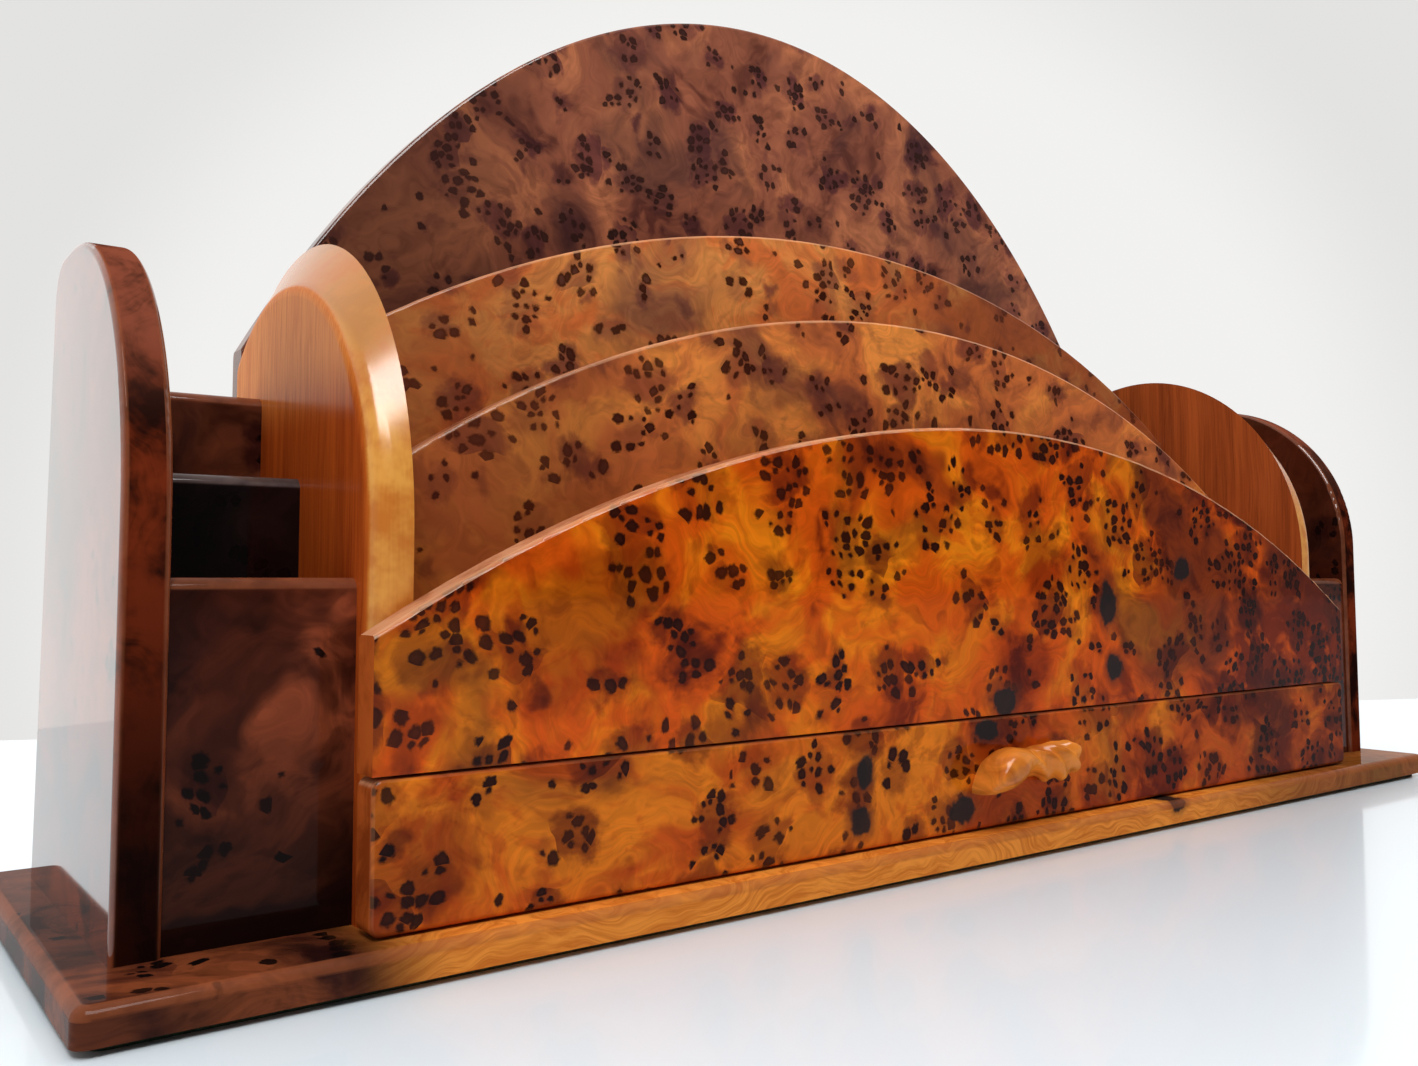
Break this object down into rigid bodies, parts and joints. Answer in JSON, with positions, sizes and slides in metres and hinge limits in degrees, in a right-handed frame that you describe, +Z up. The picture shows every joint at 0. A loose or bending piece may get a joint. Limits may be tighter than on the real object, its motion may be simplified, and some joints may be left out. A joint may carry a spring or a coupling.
{
  "type": "letter holder",
  "caption": "Free-standing burl wood letter holder with arched dividers, a low full-width drawer under the slots and a stepped pen pocket on each side.",
  "frame": {"origin": "centre of the base board's outline, on the underside that rests on the desk", "axes": "+X along the length to the right as seen from the front, +Y to the high back panel, +Z up"},
  "size_m": [0.316, 0.0841, 0.181],
  "materials": {
    "burl": "clear gloss lacquer over orange burl veneer with dark eyes",
    "burl_dark": "clear gloss lacquer over darker burl",
    "cheek_wood": "clear gloss lacquer over plain straight grain",
    "base_wood": "clear gloss lacquer",
    "drawer_wood": "plain light wood, thin satin lacquer",
    "knob_wood": "pale carved wood, gloss lacquer",
    "felt": "thin dark green felt",
    "brass": "plain brass wood screws"
  },
  "bodies": {
    "carcass": {"base_board": "base_wood", "base_felt": "felt", "base_screws": "brass", "left_end_panel": "burl_dark", "right_end_panel": "burl_dark", "left_cheek": "cheek_wood", "right_cheek": "cheek_wood", "back_panel": "burl_dark", "rear_divider": "burl", "middle_divider": "burl", "front_panel": "burl", "letter_floor": "drawer_wood", "left_pocket_front": "burl_dark", "left_pocket_middle": "burl_dark", "left_pocket_back": "burl_dark", "right_pocket_front": "burl_dark", "right_pocket_middle": "burl_dark", "right_pocket_back": "burl_dark"},
    "drawer": {"drawer_front": "burl", "drawer_left_side": "drawer_wood", "drawer_right_side": "drawer_wood", "drawer_back": "drawer_wood", "drawer_bottom": "drawer_wood", "drawer_knob": "knob_wood", "knob_screw": "brass"}
  },
  "joints": [
    {"name": "drawer_slide", "type": "slide", "parent": "carcass", "child": "drawer", "axis": [0, -1, 0], "range_m": [0, 0.045]}
  ]
}
